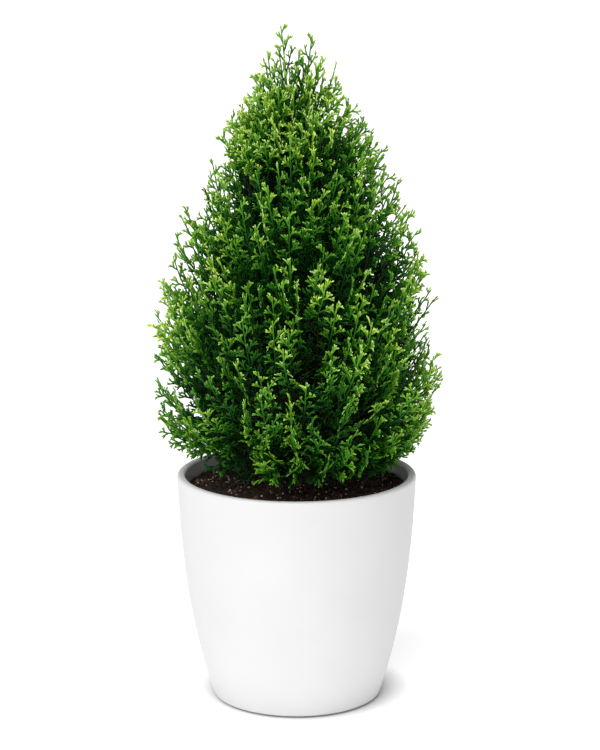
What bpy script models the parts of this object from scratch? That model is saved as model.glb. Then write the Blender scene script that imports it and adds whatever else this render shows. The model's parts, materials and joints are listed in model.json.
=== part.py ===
"""Artificial tabletop tree: a small cypress of moulded sprays in a turned ceramic pot.

A ceramic pot holds a liner pot that lifts out. The liner carries a concrete block, a foam disc, a disc of
glued soil crumbs and a socket tube. The trunk is a steel pole in a moulded bark sleeve, and it turns in the
socket. Each branch is a wire stem in a stub of the bark, and it carries one moulded fan of sprays.

Metres, +Z up, -Y to the front. The origin is the middle of the pad's underside.
"""

import math
from collections import namedtuple

import bmesh
import bpy
from mathutils import Vector

# Fit between pieces that touch, rest on each other or pass through each other.
GAP = 0.0003

# Longest straight step down a turned wall, short enough for nested walls to keep their gaps.
WALL_STEP = 0.0250

# Pot and pad.
POT_HEIGHT = 0.2023
POT_RADIUS = 0.1063  # outside, just under the lip
POT_LEAN = 0.045  # how far the wall leans in for each metre down
POT_TUCK = 0.0228  # how much further the foot is drawn in
POT_TUCK_POWER = 2.5  # how late the foot is drawn in
POT_WALL = 0.0073
POT_FLOOR = 0.0080
POT_LIP_ROUND = 0.0028
POT_FOOT_ROUND = 0.0030
POT_INNER_CORNER = 0.0050
PAD_RADIUS = 0.0690
PAD_THICKNESS = 0.0012

# Liner and what it holds.
LINER_CLEARANCE = 0.0015
LINER_WALL = 0.0014
LINER_CORNER = 0.0070
BALLAST_HEIGHT = 0.0350
FOAM_HEIGHT = 0.0450
SOIL_DROP = 0.0125  # from the lip down to the soil's edge
SOIL_CROWN = 0.0015  # how much higher the soil is at the trunk
SOIL_THICKNESS = 0.0080
SOIL_CLEARANCE = 0.0006
SOCKET_WALL = 0.0028
SOCKET_STAND = 0.0020  # how far the socket rises into the soil disc

# Trunk. A size that ends in RISE, here and below, is a height above the pot's top edge.
POLE_RADIUS = 0.0022
POLE_RISE = 0.2462
BARK_FOOT_RADIUS = 0.0046
BARK_TOP_RADIUS = 0.0036
BARK_RISE = 0.2742

# Stubs on the bark, and the wire stems that sit in them.
BALL_RADIUS = 0.0020
STUB_WALL = 0.0012
STEM_RADIUS = 0.0011
STEM_END_RADIUS = 0.0008
STEM_SHARE = 0.45  # of the branch's length

# Outline of the whole foliage, as a radius at each height.
FOLIAGE_RADIUS = 0.1260
WAIST_RISE = 0.1112  # the widest place
TREE_RISE = 0.3962
FOLIAGE_TAPER_POWER = 1.50
FOLIAGE_BOTTOM_RISE = 0.0092
FOLIAGE_TUCK = 0.0300  # how much narrower it is at the bottom

# Side branches, numbered from the lowest up, each in a sector of its own.
BRANCH_COUNT = 21
SECTOR_STEP = 8  # sectors from one branch round to the next one up
BRANCH_ROOT = 0.0105  # from the trunk's axis out to a stub's mouth
LOWEST_TIP_RISE = 0.0442
HIGHEST_TIP_RISE = 0.3342
TIP_CROWDING = 0.65  # how much closer the lower tips are than the higher ones
LOWEST_SLOPE = 20.0  # degrees from level
HIGHEST_SLOPE = 73.0
FAN_BELOW = 27.0  # degrees that a fan spreads below its stem
FAN_ABOVE = 27.0
FAN_LEVEL_LIMIT = 5.0  # no fan hangs lower than this slope
FAN_STEEP_LIMIT = 79.0
FAN_START = 0.0200  # bare stem between the stub and the fan
FAN_WEDGE = 0.115  # half-thickness for each metre from the trunk's axis
FAN_LEAST = 0.0028  # half-thickness next to the trunk

# The two leaders at the top.
LEADER_ROOT = 0.0068
LEADER_ROOT_RISE = 0.2882
LEADER_WIDTH = 0.0088  # half-thickness of a leader's sprays
LEADERS = (
    # name, direction round the trunk and slope in degrees, how far its tip is below the tree's top
    ("leader_left", 180.0, 85.0, 0.0),
    ("leader_right", 0.0, 89.0, 0.0080),
)

POT_BOTTOM = PAD_THICKNESS + GAP
POT_TOP = POT_BOTTOM + POT_HEIGHT
POT_WIDEST = POT_TOP - POT_LIP_ROUND
POLE_TOP = POT_TOP + POLE_RISE
BARK_TOP = POT_TOP + BARK_RISE
FOLIAGE_WAIST = POT_TOP + WAIST_RISE
FOLIAGE_TOP = POT_TOP + TREE_RISE
FOLIAGE_BOTTOM = POT_TOP + FOLIAGE_BOTTOM_RISE
POT_FLOOR_TOP = POT_BOTTOM + POT_FLOOR
LINER_BOTTOM = POT_FLOOR_TOP + GAP
LINER_FLOOR_TOP = LINER_BOTTOM + LINER_WALL
SOIL_TOP = POT_TOP - SOIL_DROP
SOIL_BOTTOM = SOIL_TOP - SOIL_THICKNESS
LINER_TOP = SOIL_BOTTOM - GAP
SOCKET_RADIUS = POLE_RADIUS + GAP + SOCKET_WALL
SOCKET_TOP = SOIL_BOTTOM + SOCKET_STAND
SOCKET_FLOOR_TOP = LINER_FLOOR_TOP + GAP + SOCKET_WALL
DIMPLE_RADIUS = BALL_RADIUS + GAP
STUB_RADIUS = DIMPLE_RADIUS + STUB_WALL

Branch = namedtuple("Branch", "name azimuth slope root root_height low high tip_height")


# ---- Scene and materials ----


def clear_scene():
    for obj in list(bpy.data.objects):
        bpy.data.objects.remove(obj, do_unlink=True)


def new_collection(name, hidden=False):
    collection = bpy.data.collections.new(name)
    bpy.context.scene.collection.children.link(collection)
    collection.hide_render = hidden
    return collection


def material(name, colour, roughness, metallic=0.0):
    made = bpy.data.materials.new(name)
    made.use_nodes = True
    shader = made.node_tree.nodes["Principled BSDF"]
    shader.inputs["Base Color"].default_value = (*colour, 1.0)
    shader.inputs["Roughness"].default_value = roughness
    shader.inputs["Metallic"].default_value = metallic
    made.diffuse_color = (*colour, 1.0)
    return made


def place(obj, collection, made_of=None):
    collection.objects.link(obj)
    if made_of:
        obj.data.materials.append(made_of)
    return obj


def smooth(obj, angle=40.0):
    obj.data.shade_smooth()
    obj.data.set_sharp_from_angle(angle=math.radians(angle))


# ---- Turned pieces ----


def arc(centre, radius, start, end, steps=3):
    """Points on a circle in the profile's plane, from one angle to another in degrees."""
    points = []
    for step in range(steps + 1):
        angle = math.radians(start + (end - start) * step / steps)
        points.append((centre[0] + radius * math.cos(angle), centre[1] + radius * math.sin(angle)))
    return points


def side_and_foot(radius_at, top, bottom, corner):
    """A cup's outline from its top edge down the side and round the corner to its underside."""
    side_end = bottom + corner
    levels = math.ceil((top - side_end) / WALL_STEP)
    points = []
    for level in range(levels):
        z = top + (side_end - top) * level / levels
        points.append((radius_at(z), z))
    return points + arc((radius_at(side_end) - corner, side_end), corner, 0, -90)


def turned(name, profile, steps, closed=False):
    """An object turned about Z from a profile that runs down its outer side."""
    mesh = bpy.data.meshes.new(name)
    edges = [(i, i + 1) for i in range(len(profile) - 1)]
    if closed:
        edges.append((len(profile) - 1, 0))
    mesh.from_pydata([(r, 0.0, z) for r, z in profile], edges, [])
    obj = bpy.data.objects.new(name, mesh)
    screw = obj.modifiers.new("Turn", "SCREW")
    screw.steps = steps
    screw.render_steps = steps
    screw.use_merge_vertices = True
    screw.merge_threshold = 0.00001
    screw.use_smooth_shade = True
    return obj


def pot_outside(z):
    depth = POT_WIDEST - z
    return POT_RADIUS - POT_LEAN * depth - POT_TUCK * (max(depth, 0.0) / POT_HEIGHT) ** POT_TUCK_POWER


def pot_inside(z):
    return pot_outside(min(z, POT_WIDEST)) - POT_WALL


def liner_outside(z):
    return pot_inside(z) - LINER_CLEARANCE


def liner_inside(z):
    return liner_outside(z) - LINER_WALL


def make_outer_pot(collection):
    lip_out = arc((POT_RADIUS - POT_LIP_ROUND, POT_WIDEST), POT_LIP_ROUND, 90, 0)[:-1]
    lip_in = arc((POT_RADIUS - POT_WALL + POT_LIP_ROUND, POT_WIDEST), POT_LIP_ROUND, 180, 90)[1:]
    outside = side_and_foot(pot_outside, POT_WIDEST, POT_BOTTOM, POT_FOOT_ROUND)
    inside = side_and_foot(pot_inside, POT_WIDEST, POT_FLOOR_TOP, POT_INNER_CORNER)
    profile = [(0.0, POT_FLOOR_TOP)] + inside[::-1] + lip_in + lip_out + outside + [(0.0, POT_BOTTOM)]
    glaze = material("matt_white_glaze", (0.86, 0.86, 0.85), 0.45)
    return place(turned("outer_pot", profile, 56), collection, glaze)


def make_base_pad(collection):
    profile = [(0.0, PAD_THICKNESS), (PAD_RADIUS, PAD_THICKNESS), (PAD_RADIUS, 0.0), (0.0, 0.0)]
    felt = material("dark_felt", (0.03, 0.03, 0.032), 0.95)
    return place(turned("base_pad", profile, 40), collection, felt)


def make_liner_pot(collection):
    outside = side_and_foot(liner_outside, LINER_TOP, LINER_BOTTOM, LINER_CORNER)
    inside = side_and_foot(liner_inside, LINER_TOP, LINER_FLOOR_TOP, LINER_CORNER - LINER_WALL)
    profile = [(0.0, LINER_FLOOR_TOP)] + inside[::-1] + outside + [(0.0, LINER_BOTTOM)]
    plastic = material("black_liner_plastic", (0.02, 0.02, 0.02), 0.5)
    return place(turned("liner_pot", profile, 36), collection, plastic)


def ring_profile(outer, bore, top):
    """A closed profile: down the outer side, in along the underside and back up the bore."""
    bottom = outer[-1][1]
    return outer + [(bore, bottom), (bore, top)]


def make_ballast(collection):
    bottom = LINER_FLOOR_TOP + GAP
    top = bottom + BALLAST_HEIGHT
    outer = side_and_foot(lambda z: liner_inside(z) - GAP, top, bottom, LINER_CORNER)
    profile = ring_profile(outer, SOCKET_RADIUS + GAP, top)
    concrete = material("concrete", (0.42, 0.41, 0.39), 0.9)
    return place(turned("ballast_block", profile, 36, closed=True), collection, concrete)


def make_foam(collection):
    top = SOIL_BOTTOM - GAP
    bottom = top - FOAM_HEIGHT
    radius_at = lambda z: liner_inside(z) - GAP
    outer = [(radius_at(top), top), (radius_at(bottom), bottom)]
    profile = ring_profile(outer, SOCKET_RADIUS + GAP, top)
    foam = material("white_foam", (0.85, 0.85, 0.83), 0.8)
    return place(turned("foam_disc", profile, 36, closed=True), collection, foam)


def make_socket(collection):
    bore = POLE_RADIUS + GAP
    profile = [
        (0.0, SOCKET_FLOOR_TOP),
        (bore, SOCKET_FLOOR_TOP),
        (bore, SOCKET_TOP),
        (SOCKET_RADIUS, SOCKET_TOP),
        (SOCKET_RADIUS, LINER_FLOOR_TOP + GAP),
        (0.0, LINER_FLOOR_TOP + GAP),
    ]
    plastic = material("socket_plastic", (0.05, 0.05, 0.05), 0.5)
    return place(turned("trunk_socket", profile, 16), collection, plastic)


def make_soil(collection):
    """A disc over the liner's rim, out to the pot's wall, with a slight crown towards the trunk."""
    bore = max(SOCKET_RADIUS, BARK_FOOT_RADIUS) + 2 * GAP
    edge = pot_inside(SOIL_BOTTOM) - SOIL_CLEARANCE
    top = []
    for share in (0.0, 0.5, 0.85):
        radius = bore + (edge - bore) * share
        top.append((radius, SOIL_TOP + SOIL_CROWN * (1.0 - share ** 2)))
    rim = arc((edge - SOIL_THICKNESS / 4, SOIL_TOP - SOIL_THICKNESS / 4), SOIL_THICKNESS / 4, 80, 0, 2)
    profile = top + rim + [(edge, SOIL_BOTTOM), (bore, SOIL_BOTTOM)]
    soil = material("soil_crumbs", (0.045, 0.028, 0.018), 0.95)
    return place(turned("soil_cover", profile, 40, closed=True), collection, soil)


# ---- Outline of the foliage and layout of the branches ----


def foliage_radius(z):
    if z >= FOLIAGE_WAIST:
        climb = (z - FOLIAGE_WAIST) / (FOLIAGE_TOP - FOLIAGE_WAIST)
        return FOLIAGE_RADIUS * (1.0 - min(climb, 1.0) ** FOLIAGE_TAPER_POWER)
    drop = (FOLIAGE_WAIST - z) / (FOLIAGE_WAIST - FOLIAGE_BOTTOM)
    return FOLIAGE_RADIUS - FOLIAGE_TUCK * min(drop, 1.5) ** 2


def side_branches():
    """The side branches from the lowest up. Lower tips stand closer together, as the outline is wider there."""
    branches = []
    spare = 1.0 - (1.0 - TIP_CROWDING) ** 2
    for index in range(BRANCH_COUNT):
        share = index / (BRANCH_COUNT - 1)
        climb = (1.0 - math.sqrt(1.0 - spare * share)) / TIP_CROWDING
        tip_height = POT_TOP + LOWEST_TIP_RISE + (HIGHEST_TIP_RISE - LOWEST_TIP_RISE) * climb
        slope = LOWEST_SLOPE + (HIGHEST_SLOPE - LOWEST_SLOPE) * share
        reach = foliage_radius(tip_height) - BRANCH_ROOT
        branches.append(
            Branch(
                name=f"branch_{index + 1:02d}",
                azimuth=360.0 * (index * SECTOR_STEP % BRANCH_COUNT) / BRANCH_COUNT,
                slope=slope,
                root=BRANCH_ROOT,
                root_height=tip_height - reach * math.tan(math.radians(slope)),
                low=max(slope - FAN_BELOW, FAN_LEVEL_LIMIT),
                high=min(slope + FAN_ABOVE, FAN_STEEP_LIMIT),
                tip_height=tip_height,
            )
        )
    return branches


def leaders():
    return [
        Branch(name, azimuth, slope, LEADER_ROOT, POT_TOP + LEADER_ROOT_RISE, slope, slope, FOLIAGE_TOP - drop)
        for name, azimuth, slope, drop in LEADERS
    ]


def reach_at(branch, angle):
    """Distance from the branch's root to the foliage's outline, along a line at this slope."""
    near, far = 0.0, 2.0 * FOLIAGE_RADIUS + FOLIAGE_TOP
    for _ in range(40):
        middle = (near + far) / 2
        radius = branch.root + middle * math.cos(angle)
        inside = radius < foliage_radius(branch.root_height + middle * math.sin(angle))
        near, far = (middle, far) if inside else (near, middle)
    return near


def branch_length(branch):
    """From the root to the tip along the stem's line."""
    return (branch.tip_height - branch.root_height) / math.sin(math.radians(branch.slope))


# ---- Trunk ----


def outward(branch, radius, height):
    angle = math.radians(branch.azimuth)
    return Vector((radius * math.cos(angle), radius * math.sin(angle), height))


def cutter(obj, collection):
    obj.hide_render = True
    obj.display_type = "WIRE"
    collection.objects.link(obj)
    return obj


def primitive(name, make, **settings):
    """An object from one of bmesh's primitives."""
    mesh = bpy.data.meshes.new(name)
    shape = bmesh.new()
    make(shape, **settings)
    shape.to_mesh(mesh)
    shape.free()
    return bpy.data.objects.new(name, mesh)


def add_boolean(obj, name, operation, tool):
    modifier = obj.modifiers.new(name, "BOOLEAN")
    modifier.operation = operation
    modifier.solver = "EXACT"
    if isinstance(tool, bpy.types.Collection):
        modifier.operand_type = "COLLECTION"
        modifier.collection = tool
    else:
        modifier.object = tool
    return modifier


def make_stub(branch, collection):
    """A peg from inside the trunk out to the branch's root, the way the branch leaves, with a dimple in its end."""
    drop = branch.root * math.tan(math.radians(min(branch.slope, HIGHEST_SLOPE)))
    start = outward(branch, 0.0, branch.root_height - drop)
    end = outward(branch, branch.root, branch.root_height)
    length = (end - start).length
    profile = arc((0.0, length), DIMPLE_RADIUS, -90, 0) + [(STUB_RADIUS, length), (STUB_RADIUS, 0.0), (0.0, 0.0)]
    stub = turned(branch.name + "_stub", profile, 8)
    stub.location = start
    stub.rotation_mode = "QUATERNION"
    stub.rotation_quaternion = (end - start).to_track_quat("Z", "Y")
    return cutter(stub, collection)


def make_trunk(branches, collection, cutters):
    pole_bottom = SOCKET_FLOOR_TOP + GAP
    pole_profile = [(0.0, POLE_TOP), (POLE_RADIUS, POLE_TOP), (POLE_RADIUS, pole_bottom), (0.0, pole_bottom)]
    steel = material("steel_pole", (0.55, 0.55, 0.56), 0.35, 1.0)
    pole = place(turned("trunk_pole", pole_profile, 16), collection, steel)

    bark_bottom = SOCKET_TOP + GAP
    bark_profile = [(0.0, BARK_TOP), (BARK_TOP_RADIUS, BARK_TOP), (BARK_FOOT_RADIUS, bark_bottom), (0.0, bark_bottom)]
    brown = material("moulded_bark", (0.16, 0.10, 0.05), 0.8)
    bark = place(turned("trunk_bark", bark_profile, 14), collection, brown)

    stubs = bpy.data.collections.new("stubs")
    cutters.children.link(stubs)
    for branch in branches:
        make_stub(branch, stubs)
    bore_radius = POLE_RADIUS + GAP
    bore_bottom = bark_bottom - SOCKET_STAND
    bore_profile = [
        (0.0, POLE_TOP + GAP), (bore_radius, POLE_TOP + GAP), (bore_radius, bore_bottom), (0.0, bore_bottom),
    ]
    bore = cutter(turned("pole_bore", bore_profile, 16), cutters)
    add_boolean(bark, "Stubs", "UNION", stubs)
    add_boolean(bark, "Pole bore", "DIFFERENCE", bore)
    return [pole, bark]


# ---- Branches ----


def stem_profile(length, extra=0.0):
    """A ball on the root, a thin neck and a tapering wire with a blunt end, all grown by extra."""
    ball = BALL_RADIUS + extra
    neck = STEM_RADIUS + extra
    end = STEM_END_RADIUS + extra
    neck_angle = math.degrees(math.asin(neck / ball))
    return [(0.0, length + extra), (end, length + extra)] + arc((0.0, 0.0), ball, 90 - neck_angle, -90, 4)


def blunt(share, power=4.0):
    """A width that is full along most of a length and closes at both its ends."""
    return (1.0 - abs(2.0 * share - 1.0) ** power) ** (1.0 / power)


def fan_point(branch, along, across, side):
    """A point of a side branch's fan: along its length, across its spread and to its side."""
    middle = math.radians((branch.low + branch.high) / 2)
    spread = math.radians((branch.high - branch.low) / 2)
    opening = blunt(along)
    angle = middle + spread * opening * across
    distance = FAN_START + (reach_at(branch, angle) - FAN_START) * along
    x = distance * math.cos(angle)
    thickness = max(FAN_LEAST, FAN_WEDGE * (branch.root + x))
    return Vector((x, thickness * opening * side, distance * math.sin(angle)))


def leader_point(branch, along, across, side):
    """A point of a leader's sprays, a spindle that is widest below its middle."""
    length = branch_length(branch)
    width = LEADER_WIDTH * math.sin(math.pi * (0.08 + 0.90 * along) ** 0.75)
    if along in (0.0, 1.0):
        width = 0.0
    distance = FAN_START + (length - FAN_START) * along
    slope = math.radians(branch.slope)
    x = distance * math.cos(slope) - width * across * math.sin(slope)
    z = distance * math.sin(slope) + width * across * math.cos(slope)
    return Vector((x, width * side, z))


def make_sprays(branch, point, collection, made_of):
    """The space that a branch's sprays fill, shaped from a sphere whose lower pole is at the stem."""
    sprays = primitive(
        branch.name + "_sprays", bmesh.ops.create_uvsphere, u_segments=8, v_segments=8, radius=1.0
    )
    for vertex in sprays.data.vertices:
        x, y, z = vertex.co
        ring = math.hypot(x, y)
        if ring < 1e-4:
            vertex.co = point(branch, 0.0 if z < 0 else 1.0, 0.0, 0.0)
        else:
            vertex.co = point(branch, (1.0 + z) / 2, -x / ring, y / ring)
    smooth(sprays, 60)
    return place(sprays, collection, made_of)


def make_branch(branch, point, collection, cutters, wire, green):
    """A branch's stem and sprays, on an empty at its root whose X axis points away from the trunk."""
    root = bpy.data.objects.new(branch.name, None)
    root.empty_display_size = 0.01
    root.location = outward(branch, branch.root, branch.root_height)
    root.rotation_euler.z = math.radians(branch.azimuth)
    collection.objects.link(root)

    tilt = math.radians(90.0 - branch.slope)
    length = STEM_SHARE * branch_length(branch)
    stem = place(turned(branch.name + "_stem", stem_profile(length), 8), collection, wire)
    sprays = make_sprays(branch, point, collection, green)
    bore = cutter(turned(branch.name + "_bore", stem_profile(length, GAP), 8), cutters)
    add_boolean(sprays, "Stem bore", "DIFFERENCE", bore)
    for obj in (stem, sprays, bore):
        obj.parent = root
    stem.rotation_euler.y = tilt
    bore.rotation_euler.y = tilt
    return root


def main():
    clear_scene()
    tree = new_collection("artificial_tabletop_tree")
    cutters = new_collection("cutters", hidden=True)
    for make in (
        make_outer_pot, make_base_pad, make_liner_pot, make_ballast, make_foam, make_socket, make_soil,
    ):
        make(tree)
    side = side_branches()
    top = leaders()
    make_trunk(side + top, tree, cutters)
    wire = material("stem_wire", (0.20, 0.16, 0.06), 0.7)
    green = material("moulded_sprays", (0.07, 0.22, 0.03), 0.6)
    for branch in side:
        make_branch(branch, fan_point, tree, cutters, wire, green)
    for branch in top:
        make_branch(branch, leader_point, tree, cutters, wire, green)


main()
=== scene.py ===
"""The looks of the artificial tabletop tree: moulded cypress sprays, bark, soil, glazed pot and studio.

Metres, +Z up, and the camera looks along +Y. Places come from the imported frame.
"""

import json
import math

import bmesh
import bpy
import numpy as np
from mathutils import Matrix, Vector, noise

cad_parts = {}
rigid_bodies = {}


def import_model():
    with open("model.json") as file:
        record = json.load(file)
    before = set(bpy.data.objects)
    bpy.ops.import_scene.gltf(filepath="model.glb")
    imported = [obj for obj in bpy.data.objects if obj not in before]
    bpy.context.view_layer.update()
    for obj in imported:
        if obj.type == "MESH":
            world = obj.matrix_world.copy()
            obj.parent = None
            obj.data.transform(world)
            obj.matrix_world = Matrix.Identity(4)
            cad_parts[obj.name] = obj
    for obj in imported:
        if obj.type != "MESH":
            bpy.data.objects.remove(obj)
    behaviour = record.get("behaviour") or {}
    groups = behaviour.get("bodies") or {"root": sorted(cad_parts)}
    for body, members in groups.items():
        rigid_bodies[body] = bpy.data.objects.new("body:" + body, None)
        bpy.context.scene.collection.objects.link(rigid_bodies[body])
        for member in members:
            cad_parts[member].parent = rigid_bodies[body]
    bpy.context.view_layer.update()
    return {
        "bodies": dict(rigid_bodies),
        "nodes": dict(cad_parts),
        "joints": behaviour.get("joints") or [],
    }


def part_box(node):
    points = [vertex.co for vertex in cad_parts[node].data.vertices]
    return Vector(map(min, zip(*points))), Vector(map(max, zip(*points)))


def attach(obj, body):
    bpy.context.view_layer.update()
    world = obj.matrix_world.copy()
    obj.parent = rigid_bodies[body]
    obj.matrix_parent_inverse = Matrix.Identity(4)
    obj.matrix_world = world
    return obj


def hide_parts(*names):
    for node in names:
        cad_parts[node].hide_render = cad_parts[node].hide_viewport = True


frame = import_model()

# Camera: the height, distance and pitch that give the pot's ellipses their shapes.
CAMERA_ASIDE = 0.0030
CAMERA_DISTANCE = 1.9557
CAMERA_HEIGHT = 0.7027
CAMERA_PITCH = 11.86  # degrees below level
CAMERA_LENS = 108.7  # mm
CAMERA_SENSOR = 36.0  # mm along its longer side

# Outline of the foliage, the same as the CAD model's.
FOLIAGE_RADIUS = 0.126
FOLIAGE_WAIST = 0.315
FOLIAGE_TOP = 0.600
FOLIAGE_TAPER_POWER = 1.5
FOLIAGE_BOTTOM = 0.213
FOLIAGE_TUCK = 0.03

# A frond is one flat spray: an axis, side shoots on it, twigs on those and tips on the twigs.
SIDE_ANGLE = 38.0  # degrees between a twig and the one that it grows from
ANGLE_VARIES = 4.5  # standard deviation of that angle
SHOOT_PITCH = 0.0076  # along a frond's axis, from one side shoot to the next on the other side
DENSE_PITCH = 0.0066  # the same inside the tree, where fronds are fuller
TWIG_PITCH = 0.0030  # the same along a side shoot
TIP_PITCH = 0.0026  # the same along a twig
SHOOT_LEAST = 0.0050
SHOOT_END = 0.0070  # length that a side shoot may still have at the frond's point
TWIG_MOST = 0.0050  # longest twig, before TWIG_BASE is added
TWIG_BASE = 0.0024
TIP_LEAST = 0.0044  # shortest twig that has tips of its own
TIP_MOST = 0.0030  # longest tip, before TIP_BASE is added
TIP_BASE = 0.0018
AXIS_RADIUS = 0.00075
TWIG_RADIUS = 0.00080
FLATNESS = 0.62  # thickness of a twig for its width
FROND_RINGS = 14
AXIS_SIDES = 5
TWIG_SIDES = 4

# Painted shade: foliage is coloured darker deep below the outline and close to the soil, where shade
# falls.
SHADE_DEPTH = 0.038  # below the outline, where it is darkest
SHADE = 0.78  # how much less of the tips' colour there is at that depth
LOW_HEIGHT = 0.090  # above the foliage's bottom, up to which it is also darker
LOW_SHADE = 0.35

# Wires inside the branches and leaders.
STEM_RADIUS = 0.0013
STEM_SHARE = 0.45  # of the way from the root to the outline
STEM_SAG = 6.0  # degrees that a stem's middle hangs below its chord
WIRE_SIDES = 8
LEADER_LEAN = 0.0135  # how far from the axis a leader's tip is


# ---- Vectors, in arrays whose last axis is x, y, z ----

UP = np.array([0.0, 0.0, 1.0])


def unit(v):
    return v / np.maximum(np.linalg.norm(v, axis=-1, keepdims=True), 1e-12)


def turn(v, axis, angle):
    """Vectors turned about unit axes by angles in radians."""
    c, s = np.cos(angle)[..., None], np.sin(angle)[..., None]
    along = np.sum(v * axis, axis=-1, keepdims=True)
    return v * c + np.cross(axis, v) * s + axis * along * (1 - c)


def bezier(a, b, c, rings):
    """Points of the quadratic curve from a to c with the control point b."""
    t = np.linspace(0, 1, rings)[:, None]
    return a * (1 - t) ** 2 + 2 * b * t * (1 - t) + c * t ** 2


# ---- Meshes ----


def mesh_from(name, points, quads, tris, attributes=None, uv=None):
    """A smooth mesh from arrays. uv holds each quad's corners, then each triangle's."""
    mesh = bpy.data.meshes.new(name)
    loops = np.concatenate([quads.ravel(), tris.ravel()]).astype(np.int32)
    sizes = np.concatenate([np.full(len(quads), 4), np.full(len(tris), 3)])
    starts = (np.cumsum(sizes) - sizes).astype(np.int32)
    mesh.vertices.add(len(points))
    mesh.vertices.foreach_set("co", points.astype(np.float32).ravel())
    mesh.loops.add(len(loops))
    mesh.loops.foreach_set("vertex_index", loops)
    mesh.polygons.add(len(sizes))
    mesh.polygons.foreach_set("loop_start", starts)
    mesh.polygons.foreach_set("use_smooth", np.ones(len(sizes), bool))
    mesh.update(calc_edges=True)
    for key, values in (attributes or {}).items():
        mesh.attributes.new(key, "FLOAT", "POINT").data.foreach_set("value", values.astype(np.float32))
    if uv is not None:
        mesh.uv_layers.new(name="OFBake").data.foreach_set("uv", uv.astype(np.float32).ravel())
    return mesh


def ring_pairs(rings, sides):
    """For each quad between neighbouring rings: its ring, its side and the side after that."""
    ring, side = np.meshgrid(np.arange(rings - 1), np.arange(sides), indexing="ij")
    ring, side = ring.ravel(), side.ravel()
    return ring, side, (side + 1) % sides


def wall_quads(ring, side, after, sides):
    return np.stack([ring * sides + side, ring * sides + after,
                     (ring + 1) * sides + after, (ring + 1) * sides + side], axis=1)


def cap_tris(rings, sides, first_pole, last_pole):
    """Fans that close the first and the last ring of a skin at two poles."""
    spin = np.arange(sides)
    beside = (spin + 1) % sides
    end = (rings - 1) * sides
    return np.concatenate([np.stack([beside, spin, np.full(sides, first_pole)], axis=1),
                           np.stack([end + spin, end + beside, np.full(sides, last_pole)], axis=1)])


CELL_END = 0.15  # share of a cell that each cap takes, in its height
CELL_POLE = 0.02  # where in the cell the caps' poles are
CELL_EDGE = 0.05  # empty border round each cell


def cell_uv(rings, sides):
    """Corners of one tube's quads and triangles within its cell of the map, from 0 to 1."""
    ring, side, _ = ring_pairs(rings, sides)
    low = CELL_END + (1 - 2 * CELL_END) * ring / (rings - 1)
    high = CELL_END + (1 - 2 * CELL_END) * (ring + 1) / (rings - 1)
    wall = [(side, low), (side + 1, low), (side + 1, high), (side, high)]
    spin = np.arange(sides)
    level = np.full(sides, CELL_END)
    pole = np.full(sides, CELL_POLE)
    first = [(spin + 1, level), (spin, level), (spin + 0.5, pole)]
    last = [(spin, 1 - level), (spin + 1, 1 - level), (spin + 0.5, 1 - pole)]
    wall, first, last = (np.stack([np.stack(corner, axis=1) for corner in corners], axis=1)
                         for corners in (wall, first, last))
    across = np.array([sides, 1.0])
    parts = wall, np.concatenate([first, last])
    return [CELL_EDGE + (1 - 2 * CELL_EDGE) * part / across for part in parts]


class Tubes:
    """Many closed tubes that become one mesh, with the attributes tip and tone; tip also carries painted
    shade.

    Each tube's skin has its own cell in a square map, for baking.
    """

    def __init__(self):
        self.blocks = []

    def add(self, paths, radii, normals, tips, tone, sides, flatness=FLATNESS):
        """Takes paths (T, K, 3), radii and tips (T, K), normals (T, 3) and tone (T)."""
        if len(paths):
            self.blocks.append((paths, radii, normals, tips, tone, sides, flatness))

    def mesh(self, name):
        total = sum(len(block[0]) for block in self.blocks)
        cells = math.ceil(math.sqrt(total))
        rows = math.ceil(total / cells)
        points, tips, tones, quads, tris, quad_uv, tri_uv = ([] for _ in range(7))
        base = made = 0
        for paths, radii, normals, tip, tone, sides, flatness in self.blocks:
            count, rings = paths.shape[:2]
            tangent = unit(np.gradient(paths, axis=1))
            across = unit(np.cross(normals[:, None, :], tangent))
            up = np.cross(tangent, across)
            angle = (2 * np.pi * np.arange(sides) / sides)[None, None, :, None]
            skin = across[:, :, None] * np.cos(angle) + up[:, :, None] * np.sin(angle) * flatness
            skin = paths[:, :, None] + skin * radii[:, :, None, None]
            first = paths[:, :1] - tangent[:, :1] * radii[:, :1, None] * 0.4
            last = paths[:, -1:] + tangent[:, -1:] * radii[:, -1:, None] * 0.6
            size = rings * sides + 2
            skin = skin.reshape(count, -1, 3)
            points.append(np.concatenate([skin, first, last], axis=1).reshape(-1, 3))
            skin_tips = np.repeat(tip, sides, axis=1)
            tips.append(np.concatenate([skin_tips, tip[:, :1], tip[:, -1:]], axis=1).ravel())
            tones.append(np.repeat(tone, size))

            offset = base + size * np.arange(count)[:, None, None]
            wall = wall_quads(*ring_pairs(rings, sides), sides)
            quads.append((offset + wall).reshape(-1, 4))
            tris.append((offset + cap_tris(rings, sides, size - 2, size - 1)).reshape(-1, 3))

            number = made + np.arange(count)
            corner = np.stack([number % cells, number // cells], axis=1)[:, None, None, :]
            wall_uv, caps_uv = cell_uv(rings, sides)
            room = np.array([cells, rows])
            quad_uv.append(((corner + wall_uv) / room).reshape(-1, 2))
            tri_uv.append(((corner + caps_uv) / room).reshape(-1, 2))
            base += count * size
            made += count
        points, tips = np.concatenate(points), np.concatenate(tips)
        # Painted shade: tip is darkened deep below the outline and near the foliage's bottom.
        depth = (outline(points[:, 2]) - np.hypot(points[:, 0], points[:, 1])) / SHADE_DEPTH
        low = 1 - np.clip((points[:, 2] - FOLIAGE_BOTTOM) / LOW_HEIGHT, 0, 1)
        tips = tips * (1 - SHADE * np.clip(depth, 0, 1)) * (1 - LOW_SHADE * low)
        attributes = {"tip": tips, "tone": np.concatenate(tones)}
        return mesh_from(name, points, np.concatenate(quads), np.concatenate(tris),
                         attributes, np.concatenate(quad_uv + tri_uv))


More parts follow.
